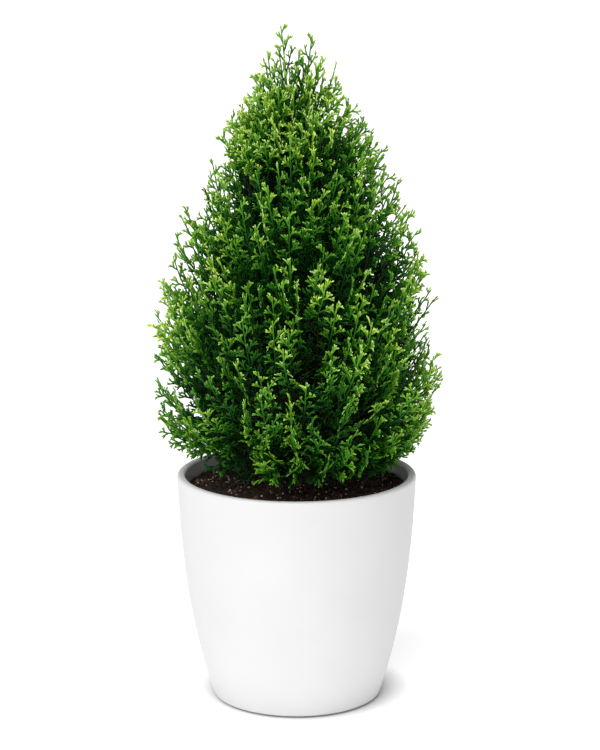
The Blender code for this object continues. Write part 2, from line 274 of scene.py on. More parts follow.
def lathe(name, profile, segments):
    """A turned shape. The profile is a list of (radius, height) that starts and ends on the axis."""
    rings = len(profile) - 2
    angle = 2 * np.pi * np.arange(segments) / segments
    radius, height = (np.array(x)[:, None] for x in zip(*profile[1:-1]))
    skin = np.stack([radius * np.cos(angle), radius * np.sin(angle), height + 0 * angle], axis=-1)
    poles = [(0.0, 0.0, profile[0][1]), (0.0, 0.0, profile[-1][1])]
    points = np.concatenate([skin.reshape(-1, 3), poles])
    pole = rings * segments
    quads = wall_quads(*ring_pairs(rings, segments), segments)
    return mesh_from(name, points, quads, cap_tris(rings, segments, pole, pole + 1))


def arc(centre, radius, start, end, steps):
    """Points (r, z) of an arc, with angles in degrees."""
    angles = np.radians(np.linspace(start, end, steps))
    return [(centre[0] + radius * math.cos(a), centre[1] + radius * math.sin(a)) for a in angles]


def add_piece(name, mesh, body, replaced, material):
    piece = bpy.data.objects.new(name, mesh)
    bpy.context.scene.collection.objects.link(piece)
    mesh.materials.append(material)
    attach(piece, body)
    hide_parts(*replaced)


# ---- Materials ----


class Shader:
    """A material being built: short calls for its nodes."""

    def __init__(self, name):
        self.material = bpy.data.materials.new(name)
        self.material.use_nodes = True
        self.tree = self.material.node_tree
        self.principled = self.tree.nodes["Principled BSDF"]
        self.place = self.node("ShaderNodeTexCoord").outputs["Object"]

    def node(self, kind, links=None, **values):
        made = self.tree.nodes.new(kind)
        for key, value in values.items():
            setattr(made, key, value)
        for key, value in (links or {}).items():
            self.feed(made.inputs[key], value)
        return made

    def feed(self, socket, value):
        if isinstance(value, bpy.types.NodeSocket):
            self.tree.links.new(value, socket)
        else:
            socket.default_value = value

    def set(self, **values):
        for key, value in values.items():
            self.feed(self.principled.inputs[key.replace("_", " ")], value)

    def attribute(self, name):
        return self.node("ShaderNodeAttribute", attribute_name=name).outputs["Fac"]

    def noise(self, scale, detail=3.0, roughness=0.55):
        links = {"Vector": self.place, "Scale": scale, "Detail": detail, "Roughness": roughness}
        return self.node("ShaderNodeTexNoise", links).outputs["Fac"]

    def stretched_noise(self, stretch, scale):
        place = self.node("ShaderNodeMapping", {"Vector": self.place, "Scale": stretch}).outputs["Vector"]
        links = {"Vector": place, "Scale": scale, "Detail": 5.0}
        return self.node("ShaderNodeTexNoise", links).outputs["Fac"]

    def cells(self, scale):
        made = self.node("ShaderNodeTexVoronoi", {"Vector": self.place, "Scale": scale}, feature="F1")
        return made.outputs["Distance"]

    def math(self, operation, a, b):
        return self.node("ShaderNodeMath", {0: a, 1: b}, operation=operation).outputs[0]

    def ramp(self, factor, stops):
        made = self.node("ShaderNodeValToRGB", {"Fac": factor})
        elements = made.color_ramp.elements
        while len(elements) < len(stops):
            elements.new(0.5)
        for element, (position, colour) in zip(elements, stops):
            element.position = position
            element.color = (*colour, 1.0)
        return made.outputs["Color"]

    def range(self, value, low, high, to_low, to_high):
        made = self.node("ShaderNodeMapRange", {"Value": value, "From Min": low, "From Max": high,
                                                "To Min": to_low, "To Max": to_high})
        return made.outputs["Result"]

    def multiply(self, a, b):
        """The product of two colours. A Mix node's colour sockets are 6, 7 and, going out, 2."""
        links = {"Factor": 1.0, 6: a, 7: b}
        return self.node("ShaderNodeMix", links, data_type="RGBA", blend_type="MULTIPLY").outputs[2]

    def bump(self, height, strength, distance):
        links = {"Height": height, "Strength": strength, "Distance": distance}
        self.set(Normal=self.node("ShaderNodeBump", links).outputs["Normal"])


def spray_material():
    """Moulded foliage: dark green towards the frond's base and, as painted shade, deep in the tree;
    yellow-green at the tips, with scale leaves in its bump.
    """
    s = Shader("spray_polyethylene")
    tip = s.attribute("tip")
    tone = s.attribute("tone")
    patch = s.noise(9.0, 2.0)
    fine = s.noise(260.0, 2.0)
    level = s.math("ADD", tip, s.range(fine, 0.3, 0.7, -0.10, 0.10))
    level = s.math("ADD", level, s.range(patch, 0.3, 0.7, -0.10, 0.10))
    leaf = s.ramp(level, [
        (0.00, (0.022, 0.020, 0.004)),
        (0.10, (0.001, 0.023, 0.001)),
        (0.30, (0.003, 0.070, 0.001)),
        (0.60, (0.050, 0.205, 0.006)),
        (0.85, (0.230, 0.460, 0.040)),
        (1.00, (0.520, 0.720, 0.200)),
    ])
    # The tone tints each frond at random, and the lower tones given to inner and core fronds are painted
    # shade.
    shade = s.ramp(tone, [(0.0, (0.55, 0.75, 0.70)), (0.5, (1.0, 1.0, 1.0)), (1.0, (1.40, 1.15, 0.80))])
    s.set(Base_Color=s.multiply(leaf, shade), Roughness=s.range(fine, 0.3, 0.7, 0.42, 0.58))
    s.principled.inputs["Specular IOR Level"].default_value = 0.18
    s.bump(s.cells(900.0), 0.55, 0.0004)
    return s.material


def stem_material():
    """The wire's coating: brown at the root, greener towards the end, and browner deep in the tree, where
    its tip attribute carries painted shade.
    """
    s = Shader("stem_coating")
    streak = s.noise(420.0, 4.0)
    level = s.math("ADD", s.attribute("tip"), s.range(streak, 0.3, 0.7, -0.15, 0.15))
    colour = s.ramp(level, [(0.0, (0.100, 0.050, 0.018)), (0.5, (0.130, 0.080, 0.022)),
                            (1.0, (0.080, 0.130, 0.020))])
    s.set(Base_Color=colour, Roughness=0.6)
    s.bump(streak, 0.5, 0.0004)
    return s.material


def bark_material():
    """Brown plastic bark, its fibres drawn out along the trunk."""
    s = Shader("moulded_bark")
    fibre = s.stretched_noise((1.0, 1.0, 0.22), 520.0)
    colour = s.ramp(fibre, [(0.30, (0.030, 0.018, 0.009)), (0.50, (0.105, 0.062, 0.028)),
                            (0.72, (0.190, 0.125, 0.060))])
    s.set(Base_Color=colour, Roughness=s.range(fibre, 0.3, 0.7, 0.85, 0.62))
    s.bump(fibre, 0.9, 0.0012)
    return s.material


def glaze_material():
    """Matt white glaze over a cast body: faint clouds, a soft gloss and the slightest orange peel."""
    s = Shader("matt_white_glaze")
    cloud = s.noise(14.0, 4.0)
    peel = s.noise(700.0, 2.0)
    colour = s.ramp(cloud, [(0.3, (0.622, 0.621, 0.624)), (0.7, (0.648, 0.646, 0.648))])
    s.set(Base_Color=colour, Roughness=s.range(cloud, 0.3, 0.7, 0.44, 0.52))
    s.principled.inputs["Specular IOR Level"].default_value = 0.35
    s.bump(peel, 0.10, 0.0004)
    return s.material


def soil_material():
    """Glued crumbs: tone 0 to 0.8 is coir and peat, above that perlite."""
    s = Shader("glued_soil")
    tone = s.attribute("tone")
    grain = s.noise(1300.0, 4.0, 0.65)
    level = s.math("ADD", tone, s.range(grain, 0.3, 0.7, -0.12, 0.12))
    colour = s.ramp(level, [
        (0.00, (0.005, 0.002, 0.001)), (0.35, (0.020, 0.008, 0.003)), (0.62, (0.060, 0.026, 0.010)),
        (0.78, (0.170, 0.085, 0.035)), (0.90, (0.500, 0.370, 0.250)), (1.00, (0.800, 0.730, 0.630))])
    s.set(Base_Color=colour, Roughness=0.85)
    s.bump(grain, 0.8, 0.0008)
    return s.material


def plain_material(name, dark, light, scale, roughness, bump, metallic=0.0, stretch=(1.0, 1.0, 1.0)):
    """A finish that is one colour varied by a noise, which also roughens the surface."""
    s = Shader(name)
    grain = s.stretched_noise(stretch, scale)
    s.set(Base_Color=s.ramp(grain, [(0.32, dark), (0.68, light)]),
          Roughness=s.range(grain, 0.3, 0.7, roughness, roughness + 0.12))
    s.principled.inputs["Metallic"].default_value = metallic
    s.bump(grain, bump, 0.0006)
    return s.material


def foam_material():
    """Expanded foam, cut: its beads show as cells."""
    s = Shader("foam_beads")
    beads = s.cells(300.0)
    s.set(Base_Color=s.ramp(beads, [(0.0, (0.82, 0.82, 0.80)), (0.8, (0.60, 0.60, 0.58))]), Roughness=0.8)
    s.bump(s.math("SUBTRACT", 1.0, beads), 0.8, 0.0010)
    return s.material


# ---- The outline and the places of branches ----


def outline(z):
    """The foliage's radius at heights z."""
    climb = np.clip((z - FOLIAGE_WAIST) / (FOLIAGE_TOP - FOLIAGE_WAIST), 0, 1)
    drop = np.clip((FOLIAGE_WAIST - z) / (FOLIAGE_WAIST - FOLIAGE_BOTTOM), 0, 1.5)
    return FOLIAGE_RADIUS * (1 - climb ** FOLIAGE_TAPER_POWER) - FOLIAGE_TUCK * drop ** 2


SEARCH_REACH = 0.5  # further from any root than the outline is
SEARCH_STEPS = 30
OUTER_SHARE = 0.6  # of a CAD solid's greatest reach, beyond which its points count


class Place:
    """A branch: its root, its own radial plane, and the angles that its CAD solid spans in that plane."""

    def __init__(self, body):
        joint = next(j for j in frame["joints"] if j["child"] == body)
        axis = joint["axis"]
        self.root = np.array(joint["pos_m"], float)
        self.out = np.array([-axis[1], axis[0], 0.0])
        self.azimuth = math.degrees(math.atan2(self.out[1], self.out[0]))
        points = np.array([v.co for v in frame["nodes"][body + "_sprays"].data.vertices]) - self.root
        along, height = points @ self.out, points[:, 2]
        distance = np.hypot(along, height)
        outer = distance > OUTER_SHARE * distance.max()
        angles = np.degrees(np.arctan2(height, along))[outer]
        self.low, self.high = angles.min(), angles.max()
        self.middle = (self.low + self.high) / 2

    def polar(self, angle, distance, around=0.0):
        """A point in the radial plane, turned round the trunk by some degrees."""
        a, w = math.radians(angle), math.radians(around)
        x, y, z = self.root + distance * (self.out * math.cos(a) + UP * math.sin(a))
        return np.array([x * math.cos(w) - y * math.sin(w), x * math.sin(w) + y * math.cos(w), z])

    def reach(self, angle):
        """From the root to the foliage's outline at an angle above level, in the radial plane."""
        a = math.radians(angle)
        near, far = 0.0, SEARCH_REACH
        for _ in range(SEARCH_STEPS):
            middle = (near + far) / 2
            z = self.root[2] + middle * math.sin(a)
            x = self.root @ self.out + middle * math.cos(a)
            if z < FOLIAGE_TOP and x < outline(z):
                near = middle
            else:
                far = middle
        return near


# ---- Fronds ----


def side_shoots(paths, start, pitch, rng):
    """Alternate side shoots along paths (T, K, 3).

    For each: its path, the share along that, the point and tangent there, its side and the path's length.
    """
    lengths = np.linalg.norm(np.diff(paths, axis=1), axis=2).sum(axis=1)
    counts = np.maximum((lengths * (1 - start) / pitch).astype(int), 0)
    owner = np.repeat(np.arange(len(paths)), counts)
    order = np.concatenate([np.arange(c) for c in counts]) if len(owner) else np.zeros(0, int)
    step = (order + 0.35 + rng.uniform(-0.12, 0.12, len(owner))) / np.maximum(counts[owner], 1)
    share = start + (1 - start) * np.minimum(step, 0.97)
    side = np.where((order + rng.integers(2, size=len(paths))[owner]) % 2, 1.0, -1.0)
    place = share * (paths.shape[1] - 1)
    low = np.minimum(place.astype(int), paths.shape[1] - 2)
    a, b = paths[owner, low], paths[owner, low + 1]
    return owner, share, a + (b - a) * (place - low)[:, None], unit(b - a), side, lengths[owner]


def grow(point, tangent, normal, side, length, leave, curl, roll, rng, rings):
    """Paths that leave at an angle and curl forward along what they grow from, and their normals.

    Roll is how far out of the frond's plane they turn, in radians.
    """
    flat = unit(turn(normal, tangent, rng.normal(0, roll, len(point))))
    angle = np.radians(leave + rng.normal(0, ANGLE_VARIES, len(point)))
    start = turn(tangent, flat, side * angle)
    finish = turn(start, flat, -side * np.radians(curl))
    t = np.linspace(0, 1, rings)[None, :, None]
    lift = rng.normal(0, 0.08, len(point))[:, None, None] * normal[:, None, :]
    shape = start[:, None] * (t - t * t / 2) + finish[:, None] * t * t / 2 + lift * t * t
    return point[:, None] + shape * length[:, None, None], flat


def beads(count, rings, base, end, swell, rng):
    """Radii along twigs: the beads of scale leaves on a slight taper, and a rounded end."""
    t = np.linspace(0, 1, rings)[None]
    radii = (base + (end - base) * t) * (1 + swell * np.where(np.arange(rings) % 2, 1, -1))
    radii = radii * rng.uniform(0.9, 1.1, (count, 1))
    radii[:, -1] *= 0.66
    return radii


def climb(start, end, rings, power=1.0):
    """The tip attribute along each twig, from its start's value to its end's."""
    t = np.linspace(0, 1, rings)[None] ** power
    return start[:, None] + (end - start)[:, None] * t


def add_frond(tubes, path, across, twist, width, tone, rng, bare=0.15, pitch=SHOOT_PITCH, fresh=1.0,
              angle=SIDE_ANGLE, point_width=0.36, twig_pitch=TWIG_PITCH):
    """One flat spray: an axis, alternate shoots, twigs on those and short tips on the twigs.

    Across is square to the path, and twist, in radians, turns it about the path into the normal of the
    spray's plane. Width is the longest shoot, bare the share of the path before the first one, and
    point_width the share of the width that the last ones have. One more argument gives the tips' share of
    yellow-green; lowering it below 1 paints shade.
    """
    paths = path[None]
    rings = len(path)
    t = np.linspace(0, 1, rings)
    axis_tip = (0.05 + 0.65 * t ** 1.6)[None] * fresh
    axis_radii = (AXIS_RADIUS * (1.25 - 0.40 * t))[None]
    tubes.add(paths, axis_radii, across[None], axis_tip, np.array([tone]), AXIS_SIDES, 0.9)

    owner, share, point, tangent, side, full = side_shoots(paths, bare, pitch, rng)
    lance = np.interp(share, (0.0, 0.35, 1.0), (0.65, 1.0, point_width))
    wanted = width * lance * rng.uniform(0.78, 1.15, len(share))
    length = np.maximum(np.minimum(wanted, full * (1 - share) * 0.80 + SHOOT_END), SHOOT_LEAST)
    level = unit(across - tangent * (tangent @ across)[:, None])
    level = turn(level, tangent, np.full(len(share), twist))
    shoots, flats = grow(point, tangent, level, side, length, angle, 18, 0.25, rng, 6)
    tones = np.clip(tone + rng.normal(0, 0.06, len(share)), 0, 1)
    start = (0.10 + 0.55 * share) * fresh
    tubes.add(shoots, beads(len(shoots), 6, TWIG_RADIUS, TWIG_RADIUS * 0.95, 0.06, rng), flats,
              climb(start, np.full(len(start), 0.88 * fresh), 6, 1.2), tones, TWIG_SIDES)

    owner2, share2, point2, tangent2, side2, full2 = side_shoots(shoots, 0.20, twig_pitch, rng)
    room = full2 * (1 - share2) * 0.65
    length2 = np.minimum(room, TWIG_MOST) * rng.uniform(0.75, 1.15, len(share2)) + TWIG_BASE
    twigs, flats2 = grow(point2, tangent2, flats[owner2], side2, length2, SIDE_ANGLE, 10, 0.20, rng, 4)
    tones2 = np.clip(tones[owner2] + rng.normal(0, 0.05, len(share2)), 0, 1)
    start2 = (0.25 + 0.25 * share[owner2] + 0.25 * share2) * fresh
    tubes.add(twigs, beads(len(twigs), 4, TWIG_RADIUS * 0.92, TWIG_RADIUS * 1.02, 0.09, rng), flats2,
              climb(start2, np.full(len(start2), fresh), 4), tones2, TWIG_SIDES)

    long = length2 > TIP_LEAST
    owner3, share3, point3, tangent3, side3, full3 = side_shoots(twigs[long], 0.28, TIP_PITCH, rng)
    length3 = np.minimum(full3 * (1 - share3) * 0.6, TIP_MOST) + TIP_BASE
    flats3 = flats2[long][owner3]
    ends, flats3 = grow(point3, tangent3, flats3, side3, length3, SIDE_ANGLE, 6, 0.12, rng, 3)
    tubes.add(ends, beads(len(ends), 3, TWIG_RADIUS * 0.9, TWIG_RADIUS, 0.05, rng), flats3,
              climb(np.full(len(ends), 0.60 * fresh), np.full(len(ends), fresh), 3),
              np.clip(tones2[long][owner3] + rng.normal(0, 0.04, len(ends)), 0, 1), TWIG_SIDES)


# ---- Branches ----

GOLDEN = 0.618034  # share of a turn that spreads out what repeats
LOWEST_AXIS = 0.209  # how low a frond's bend may come: just over the pot's lip
TONE_VARIES = 0.16  # standard deviation of a frond's tone

# A high branch has more of the way round to fill than a low one.
HIGH_START = 0.45  # share of the branches, counted from the lowest, from which they widen
LOW_SPREAD = 50.0  # degrees round the trunk that a low branch's fronds fill
HIGH_SPREAD = 150.0
HIGH_OVERREACH = 0.05

# Outer fronds stand in upright columns and end at the outline.
LOW_COLUMNS = 4
HIGH_COLUMNS = 7
COLUMN_FRONDS = 5
OUTER_REACH = (0.90, 1.05)  # of the way from the root to the outline
OUTER_LEAN = (10, 42)  # degrees from upright
OUTER_WIDTH = (0.017, 0.025)
OUTER_TONE = 0.55
ANY_TWIST = 1.6  # radians either way

# Inner fronds end between the wire and the outline, and core fronds close to the trunk. Their lower tones
# and duller tips are painted shade for the inside of the tree.
INNER_FRONDS = 16
INNER_REACH = (0.42, 0.84)
INNER_WIDTH = 0.023
INNER_LEAN = 15
INNER_TONE = 0.35
INNER_UNSHADED = 0.80
CORE_FRONDS = 11
CORE_SPREAD = 240.0  # degrees round the trunk
CORE_RISE = (0.025, 0.095)  # above the wire, near its root
CORE_RADIUS = (0.014, 0.048)
CORE_LEAN = 10
CORE_TONE = 0.25

# The lowest branches also carry a skirt of fronds that droop over the soil. Their duller tips are painted
# shade, low down under the tree.
SKIRT_BRANCHES = 9
SKIRT_FRONDS = 6
SKIRT_SPREAD = 42.0  # degrees round the trunk
SKIRT_RADIUS = (0.045, 0.102)
SKIRT_HEIGHT = (0.2035, 0.2230)
SKIRT_LEAN = 105.0
SKIRT_WIDTH = 0.016
SKIRT_TONE = 0.5
SKIRT_UNSHADED = 0.62


def stem_path(place):
    """The wire in the radial plane: it dips a little at its root and rises towards its end."""
    length = STEM_SHARE * place.reach(place.middle)
    control = place.polar(place.middle - STEM_SAG, length * 0.5)
    return bezier(place.root, control, place.polar(place.middle, length), 9)


def finish_branch(body, green, wood, spray, stem):
    add_piece(body + "_foliage", green.mesh(body + "_foliage"), body, [body + "_sprays"], spray)
    add_piece(body + "_wire", wood.mesh(body + "_wire"), body, [body + "_stem"], stem)


def add_arched_frond(green, place, base, tip, around, lean, width, tone, twist, rng, **settings):
    """A frond from base to tip, whose end leans outwards from upright by so many degrees.

    Outwards is the branch's azimuth turned round the trunk by around.
    """
    w, a = math.radians(place.azimuth + around), math.radians(lean)
    outward = np.array([math.cos(w), math.sin(w), 0.0])
    sideways = np.array([-outward[1], outward[0], 0.0])
    ending = outward * math.sin(a) + UP * math.cos(a)
    middle = tip - ending * np.linalg.norm(tip - base) * 0.5
    middle[2] = max(middle[2], LOWEST_AXIS)
    chord = unit(tip - base)
    across = unit(sideways - chord * (sideways @ chord))
    path = bezier(base, middle, tip, FROND_RINGS)
    add_frond(green, path, across, twist, width, tone, rng, **settings)


def cylinder_point(azimuth, radius, z):
    a = math.radians(azimuth)
    return np.array([radius * math.cos(a), radius * math.sin(a), z])


def branch(body, number, count, spray, stem):
    """A side branch: its wire, fronds out to the outline, shorter ones inside and, low down, a skirt."""
    place = Place(body)
    rng = np.random.default_rng(number)
    wood, green = Tubes(), Tubes()
    main = stem_path(place)
    t = np.linspace(0, 1, len(main))
    wood.add(main[None], (STEM_RADIUS * (1.2 - 0.5 * t))[None], UP[None], (0.1 + 0.4 * t)[None],
             np.array([0.5]), WIRE_SIDES, 1.0)
    high = max(0.0, (number / (count - 1) - HIGH_START) / (1 - HIGH_START))
    spread = LOW_SPREAD + (HIGH_SPREAD - LOW_SPREAD) * high
    columns = round(LOW_COLUMNS + (HIGH_COLUMNS - LOW_COLUMNS) * high)
    overreach = 1.0 + HIGH_OVERREACH * high

    def frond(base_share, tip, around, lean, width, tone, twist, **settings):
        base = main[int(base_share * (len(main) - 1))]
        tone = float(np.clip(rng.normal(tone, TONE_VARIES), 0, 1))
        add_arched_frond(green, place, base, tip, around, lean, width, tone, twist, rng, **settings)

    for column in range(columns):
        for row in range(COLUMN_FRONDS):
            share = (row + (column * GOLDEN) % 1) / COLUMN_FRONDS
            angle = place.low + (place.high - place.low) * share + rng.normal(0, 2.0)
            around = ((column + 0.5) / columns - 0.5) * spread + rng.normal(0, 2.5)
            tip = place.polar(angle, place.reach(angle) * overreach * rng.uniform(*OUTER_REACH), around)
            frond(rng.uniform(0.3, 1.0), tip, around, rng.uniform(*OUTER_LEAN), rng.uniform(*OUTER_WIDTH),
                  OUTER_TONE, rng.uniform(-ANY_TWIST, ANY_TWIST), bare=0.25)
    inner = round(INNER_FRONDS * (1 + 0.5 * high))
    for k in range(inner):
        angle = place.low + (place.high - place.low) * (k + 0.5) / inner
        around = ((k * GOLDEN + number * 0.37) % 1 - 0.5) * spread
        tip = place.polar(angle, place.reach(angle) * rng.uniform(*INNER_REACH), around)
        frond(rng.uniform(0.1, 0.9), tip, around, INNER_LEAN, INNER_WIDTH, INNER_TONE,
              rng.uniform(-ANY_TWIST, ANY_TWIST), bare=0.08, pitch=DENSE_PITCH, fresh=INNER_UNSHADED)
    core = round(CORE_FRONDS * (1 + 0.6 * high))
    for k in range(core):
        around = ((k + 0.5) / core - 0.5) * CORE_SPREAD
        rise = rng.uniform(*CORE_RISE)
        tip = cylinder_point(place.azimuth + around, rng.uniform(*CORE_RADIUS), main[2][2] + rise)
        frond(0.2, tip, around, CORE_LEAN, INNER_WIDTH, CORE_TONE, rng.normal(1.57, 0.4),
              bare=0.05, pitch=DENSE_PITCH, fresh=INNER_UNSHADED)
    if number < SKIRT_BRANCHES:
        for k in range(SKIRT_FRONDS):
            around = ((k + 0.5) / SKIRT_FRONDS - 0.5) * SKIRT_SPREAD + rng.normal(0, 4)
            share = (k * GOLDEN + number * 0.41) % 1
            radius = SKIRT_RADIUS[0] + (SKIRT_RADIUS[1] - SKIRT_RADIUS[0]) * share
            z = SKIRT_HEIGHT[0] + (SKIRT_HEIGHT[1] - SKIRT_HEIGHT[0]) * share ** 1.5
            tip = cylinder_point(place.azimuth + around, radius, z)
            frond(rng.uniform(0.1, 0.6), tip, around, SKIRT_LEAN, SKIRT_WIDTH, SKIRT_TONE,
                  rng.normal(0.5, 0.6), fresh=SKIRT_UNSHADED)
    finish_branch(body, green, wood, spray, stem)


# Crown fronds are slender and open: their shoots are further apart and leave at a narrower angle.
CROWN_FRONDS = 24
CROWN_TOP = 0.020  # how far below the leader's top the highest frond round it ends
CROWN_DEPTH = 0.110  # the same for the lowest
CROWN_AROUND = 190.0  # degrees round the trunk that a leader's fronds fill
CROWN_SPREAD = 0.008  # beyond the outline
CROWN_REACH = (0.70, 1.10)  # of the radius with that spread
CROWN_LEAN = (2, 24)  # degrees from upright
CROWN_WIDTH = 0.025
CROWN_TONE = 0.72
CROWN_TWIST = 1.2  # radians either way
LEADER_WIDTH = 0.032
LEADER_TONE = 0.75
LEADER_TWIST = 0.25
LEADER_PITCH = 0.0085
CROWN_PITCH = 0.0090
CROWN_TWIG_PITCH = 0.0040
CROWN_ANGLE = 32.0


def leader(body, seed, spray, stem):
    """An upright leader: one tall slender frond, and others round it that end lower and further out."""
    place = Place(body)
    rng = np.random.default_rng(seed)
    wood, green = Tubes(), Tubes()
    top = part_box(body + "_sprays")[1][2]
    tip = cylinder_point(place.azimuth, LEADER_LEAN, top - 0.003)
    height = tip[2] - place.root[2]
    main = bezier(place.root, place.root + UP * height * 0.55, tip, 16)
    wire = main[:8]
    t = np.linspace(0, 1, len(wire))
    wood.add(wire[None], (STEM_RADIUS * (1.0 - 0.35 * t))[None], place.out[None],
             (0.4 + 0.6 * t)[None], np.array([0.5]), WIRE_SIDES, 1.0)
    sideways = np.array([-place.out[1], place.out[0], 0.0])
    open_spray = {"bare": 0.12, "angle": CROWN_ANGLE, "twig_pitch": CROWN_TWIG_PITCH}
    add_frond(green, main, sideways, LEADER_TWIST, LEADER_WIDTH, LEADER_TONE, rng, pitch=LEADER_PITCH,
              point_width=0.14, **open_spray)
    for k in range(CROWN_FRONDS):
        share = (k + 0.5) / CROWN_FRONDS
        around = ((k * GOLDEN + seed * 0.29) % 1 - 0.5) * CROWN_AROUND
        z = top - CROWN_TOP - (CROWN_DEPTH - CROWN_TOP) * share
        radius = (outline(z) + CROWN_SPREAD) * rng.uniform(*CROWN_REACH)
        end = cylinder_point(place.azimuth + around, radius, z)
        base = place.root + UP * height * rng.uniform(-0.10, 0.20) * (1 - share)
        lean = rng.uniform(*CROWN_LEAN)
        tone = float(np.clip(rng.normal(CROWN_TONE, 0.15), 0, 1))
        twist = rng.uniform(-CROWN_TWIST, CROWN_TWIST)
        add_arched_frond(green, place, base, end, around, lean, CROWN_WIDTH, tone, twist, rng,
                         pitch=CROWN_PITCH, point_width=0.30, **open_spray)
    finish_branch(body, green, wood, spray, stem)


# ---- Trunk ----

TRUNK_FOOT_RADIUS = 0.0046
TRUNK_TOP_RADIUS = 0.0036
TRUNK_RINGS = 120
TRUNK_SIDES = 20
TRUNK_BEND = 0.0004
BARK_RIDGES = 0.05  # depth of the ridges round the trunk, as a share of its radius
STUB_RADII = (0.0030, 0.0028, 0.0024, 0.0021, 0.0022, 0.0020)  # from the axis to the mouth
STUB_SIDES = 12
STUB_DROP = 0.002  # how much lower than the branch's root a stub starts, on the axis
STUB_SHORT = 0.0005  # how far a stub's mouth stays short of the branch's root


def trunk(branches, material):
    """The moulded trunk, ridged like bark, with a stub for each branch."""
    low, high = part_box("trunk_bark")
    tubes = Tubes()
    t = np.linspace(0, 1, TRUNK_RINGS)
    z = low[2] + (high[2] - low[2]) * t
    path = np.stack([TRUNK_BEND * np.sin(z * 60), TRUNK_BEND * np.cos(z * 45), z], axis=1)
    radii = TRUNK_FOOT_RADIUS + (TRUNK_TOP_RADIUS - TRUNK_FOOT_RADIUS) * t
    radii = radii * (1 + BARK_RIDGES * np.sin(z * 900) * np.sin(z * 310))
    square = np.array([[0.0, 1.0, 0.0]])
    tubes.add(path[None], radii[None], square, t[None], np.array([0.5]), TRUNK_SIDES, 1.0)
    for body in branches:
        root = Place(body).root
        inner = root * UP - UP * STUB_DROP
        outer = root - unit(root - inner) * STUB_SHORT
        rings = len(STUB_RADII)
        path = bezier(inner, (inner + outer) / 2, outer, rings)
        tubes.add(path[None], np.array([STUB_RADII]), UP[None], np.linspace(0, 1, rings)[None],
                  np.array([0.5]), STUB_SIDES, 1.0)
    add_piece("bark", tubes.mesh("bark"), "tree", ["trunk_bark"], material)


# ---- Soil ----

CRUMBS = 1700
PERLITE = 330
SOIL_DOMING = 0.0015  # how much lower the soil is at its edge than in the middle
SOIL_BORE = 0.0060  # radius of the hole round the trunk
SOIL_SINK = 0.0008  # how far the middle of the bumps is below the top of the CAD solid
SOIL_RINGS = 80
SOIL_SEGMENTS = 200
LUMPS = ((260, 0.0008), (702, 0.0005))  # noise cells to a metre, and their height
CRUMB_SINK = 0.0006
CRUMB_SIZE = (0.0005, 0.0024)
PERLITE_SIZE = (0.0005, 0.0011)
CRUMB_MARGIN = (0.0020, 0.0025)  # clear of crumbs at the hole and at the edge
SOIL_TONE = 0.30
CRUMB_TONE = 0.42
MOST_CRUMB_TONE = 0.76


def soil_disc(radius, bottom, top):
    """Points and quads of a ring-shaped disc with a bumpy, slightly domed upper side."""
    share = np.linspace(0, 1, SOIL_RINGS)
    r = SOIL_BORE + (radius - SOIL_BORE) * share
    angle = 2 * np.pi * np.arange(SOIL_SEGMENTS) / SOIL_SEGMENTS
    x, y = r[:, None] * np.cos(angle), r[:, None] * np.sin(angle)
    lumps = [[sum(high * noise.noise(Vector((px * many, py * many, 0))) for many, high in LUMPS)
              for px, py in zip(*row)] for row in zip(x, y)]
    z = top - SOIL_DOMING * share[:, None] ** 2 + np.array(lumps) - SOIL_SINK
    upper = np.stack([x, y, z], axis=-1).reshape(-1, 3)
    edges = [np.stack([x[i], y[i], np.full(SOIL_SEGMENTS, bottom)], axis=-1) for i in (-1, 0)]
    spin = np.arange(SOIL_SEGMENTS)
    beside = (spin + 1) % SOIL_SEGMENTS
    rows = [(SOIL_RINGS - 1) * SOIL_SEGMENTS, len(upper), len(upper) + SOIL_SEGMENTS, 0]
    quads = [wall_quads(*ring_pairs(SOIL_RINGS, SOIL_SEGMENTS), SOIL_SEGMENTS)[:, [0, 3, 2, 1]]]
    quads += [np.stack([a + spin, b + spin, b + beside, a + beside], axis=1)
              for a, b in zip(rows, rows[1:])]
    return np.concatenate([upper, *edges]), np.concatenate(quads)


def soil(material):
    """A bumpy disc under a layer of crumbs, some of them perlite."""
    rng = np.random.default_rng(7)
    low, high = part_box("soil_cover")
    radius, top = high[0], high[2]
    points, quads = soil_disc(radius, low[2], top)
    tone = SOIL_TONE + rng.normal(0, 0.08, len(points))

    ball, ball_faces = icosphere()
    count = CRUMBS + PERLITE
    nearest, furthest = SOIL_BORE + CRUMB_MARGIN[0], radius - CRUMB_MARGIN[1]
    where = np.sqrt(rng.uniform(nearest ** 2, furthest ** 2, count))
    angle = rng.uniform(0, 2 * np.pi, count)
    size = rng.gamma(4.0, 0.00026, count).clip(*CRUMB_SIZE)
    size[CRUMBS:] = rng.uniform(*PERLITE_SIZE, PERLITE)
    z = top - SOIL_DOMING * (where / radius) ** 2 - CRUMB_SINK + size * rng.uniform(0, 0.7, count)
    centre = np.stack([where * np.cos(angle), where * np.sin(angle), z], axis=1)
    scale = size[:, None] * rng.uniform(0.6, 1.25, (count, 3))
    rough = 1 + rng.normal(0, 0.16, (count, len(ball), 1))
    crumbs = centre[:, None] + ball * rough * scale[:, None]
    crumb_tone = np.clip(rng.normal(CRUMB_TONE, 0.16, count), 0, MOST_CRUMB_TONE)
    crumb_tone[CRUMBS:] = rng.uniform(0.88, 1.0, PERLITE)
    offset = len(points) + len(ball) * np.arange(count)[:, None, None]
    tones = np.concatenate([tone, np.repeat(crumb_tone, len(ball))])
    mesh = mesh_from("soil", np.concatenate([points, crumbs.reshape(-1, 3)]), quads,
                     (offset + ball_faces).reshape(-1, 3), {"tone": tones})
    add_piece("soil", mesh, "insert", ["soil_cover"], material)


